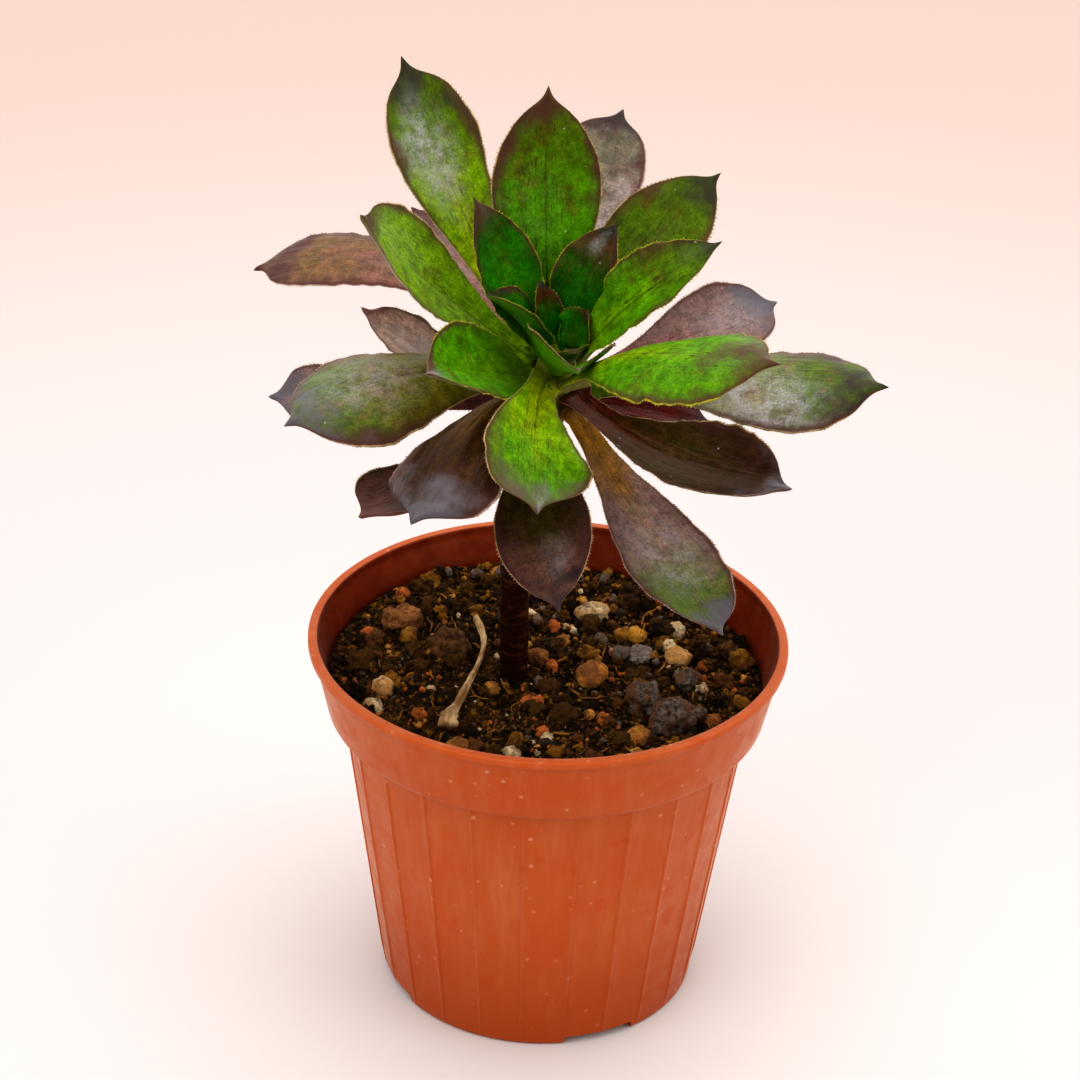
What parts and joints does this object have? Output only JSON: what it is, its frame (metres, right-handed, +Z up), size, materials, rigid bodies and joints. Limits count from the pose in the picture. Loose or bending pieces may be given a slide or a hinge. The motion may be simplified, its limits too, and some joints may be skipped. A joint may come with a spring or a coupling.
{
  "type": "potted succulent",
  "caption": "Young tree aeonium rosette on a short woody stem, rooted in gritty potting soil in a ribbed terracotta-coloured plastic nursery pot.",
  "frame": {"origin": "centre of the pot's underside, on the surface that the pot stands on", "axes": "+Z up along the pot's axis, +X to the right of the head's lean, -Y towards the side that the rosette tips to"},
  "size_m": [0.1147, 0.1021, 0.1796],
  "materials": {
    "leaf_inner": "satin deep green leaf flesh with dark tips",
    "leaf_green": "satin green leaf flesh with a brown-pink edge",
    "leaf_mauve": "satin grey-mauve leaf flesh with a waxy bloom",
    "leaf_dark": "satin dark purple-brown leaf flesh",
    "stem_bark": "rough dark bark with leaf scars",
    "dry_straw": "dry and fibrous",
    "potting_soil": "rough moist crumbs and grit",
    "pot_plastic": "satin moulded terracotta-coloured polypropylene",
    "lava": "rough dark lava",
    "pumice": "pale porous grit",
    "clay": "rough fired clay grit",
    "clod": "rough brown lump of soil"
  },
  "bodies": {
    "root": {"leaf_01": "leaf_inner", "leaf_02": "leaf_inner", "leaf_03": "leaf_inner", "leaf_04": "leaf_inner", "leaf_05": "leaf_inner", "leaf_06": "leaf_inner", "leaf_07": "leaf_inner", "leaf_08": "leaf_inner", "leaf_09": "leaf_green", "leaf_10": "leaf_green", "leaf_11": "leaf_green", "leaf_12": "leaf_green", "leaf_13": "leaf_green", "leaf_14": "leaf_green", "leaf_15": "leaf_green", "leaf_16": "leaf_dark", "leaf_17": "leaf_green", "leaf_18": "leaf_mauve", "leaf_19": "leaf_mauve", "leaf_20": "leaf_mauve", "leaf_21": "leaf_dark", "leaf_22": "leaf_mauve", "leaf_23": "leaf_mauve", "leaf_24": "leaf_mauve", "leaf_25": "leaf_mauve", "leaf_26": "leaf_dark", "leaf_27": "leaf_mauve", "leaf_28": "leaf_dark", "leaf_29": "leaf_dark", "bud": "leaf_inner", "stem": "stem_bark", "dry_stalk": "dry_straw", "soil": "potting_soil", "pot": "pot_plastic", "lava_stone_1": "lava", "lava_stone_2": "lava", "lava_stone_3": "lava", "pumice_1": "pumice", "pumice_2": "pumice", "pumice_3": "pumice", "pumice_4": "pumice", "pumice_5": "pumice", "pumice_6": "pumice", "clay_grain_1": "clay", "clay_grain_2": "clay", "clay_grain_3": "clay", "clay_grain_4": "clay", "clay_grain_5": "clay", "clay_grain_6": "clay", "clod_1": "clod", "clod_2": "clod", "clod_3": "clod"}
  },
  "joints": []
}
